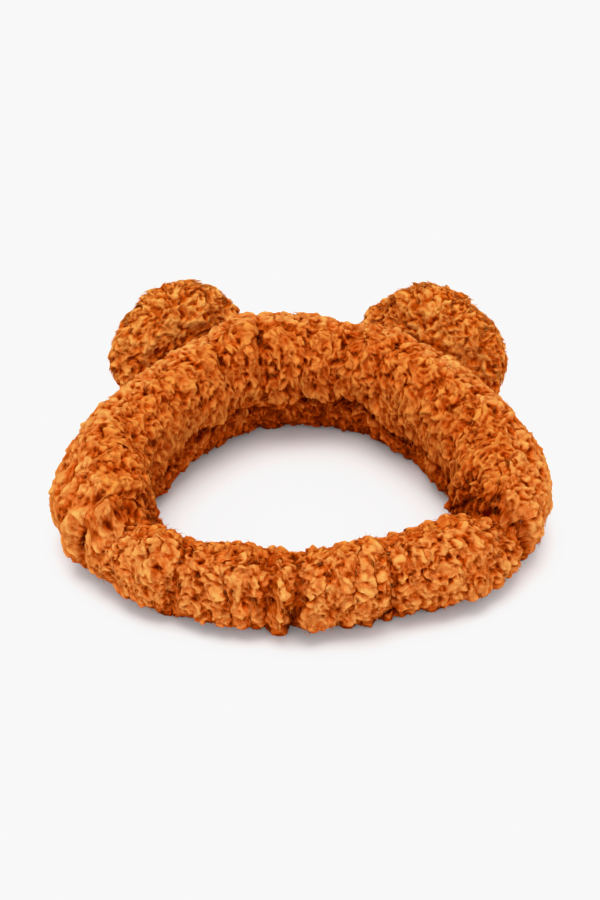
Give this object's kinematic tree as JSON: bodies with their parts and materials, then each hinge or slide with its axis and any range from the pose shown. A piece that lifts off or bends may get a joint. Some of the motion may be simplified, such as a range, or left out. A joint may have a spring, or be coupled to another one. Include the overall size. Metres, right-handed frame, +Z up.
{
  "type": "animal ears headband",
  "caption": "Stretchy plush fleece headband: a stuffed tube with two round padded ears, closed by a gathered elastic back.",
  "frame": {"origin": "middle of the head opening, on the plane that the band stands on", "axes": "+Z up, along the band's height; +X to the wearer's right; +Y towards the forehead, where the ears are"},
  "size_m": [0.2292, 0.1948, 0.064],
  "materials": {
    "fleece": "clumpy teddy fleece, rust orange",
    "lining_fleece": "clumpy teddy fleece, rust orange",
    "ear_fleece": "clumpy teddy fleece, rust orange",
    "wadding": "matt polyester fill",
    "elastic": "woven elastic",
    "thread": "polyester thread"
  },
  "bodies": {
    "front_tube": {"front_outer_panel": "fleece", "front_lining_panel": "lining_fleece", "front_wadding": "wadding", "front_top_seam": "thread", "front_bottom_seam": "thread", "left_side_seam": "thread", "right_side_seam": "thread"},
    "back_casing": {"back_outer_panel": "fleece", "back_lining_panel": "lining_fleece", "elastic_strip": "elastic", "back_top_seam": "thread", "back_bottom_seam": "thread", "centre_back_seam": "thread"},
    "left_ear": {"left_ear_front_panel": "ear_fleece", "left_ear_back_panel": "ear_fleece", "left_ear_wadding": "wadding", "left_ear_edge_seam": "thread", "left_ear_base_stitches": "thread"},
    "right_ear": {"right_ear_front_panel": "ear_fleece", "right_ear_back_panel": "ear_fleece", "right_ear_wadding": "wadding", "right_ear_edge_seam": "thread", "right_ear_base_stitches": "thread"}
  },
  "joints": [
    {"name": "elastic_stretch", "type": "slide", "parent": "front_tube", "child": "back_casing", "axis": [0, -1, 0], "range_m": [0, 0.045], "stiffness_N_per_m": 70, "deforming": ["elastic_strip", "back_outer_panel", "back_lining_panel", "back_top_seam", "back_bottom_seam"]},
    {"name": "left_ear_flop", "type": "hinge", "parent": "front_tube", "child": "left_ear", "pos_m": [-0.0532, 0.0721, 0.027], "axis": [-0.7986, -0.6018, 0], "range_deg": [-10, 60], "stiffness_Nm_per_rad": 0.03},
    {"name": "right_ear_flop", "type": "hinge", "parent": "front_tube", "child": "right_ear", "pos_m": [0.0532, 0.0721, 0.027], "axis": [-0.7986, 0.6018, 0], "range_deg": [-10, 60], "stiffness_Nm_per_rad": 0.03}
  ]
}
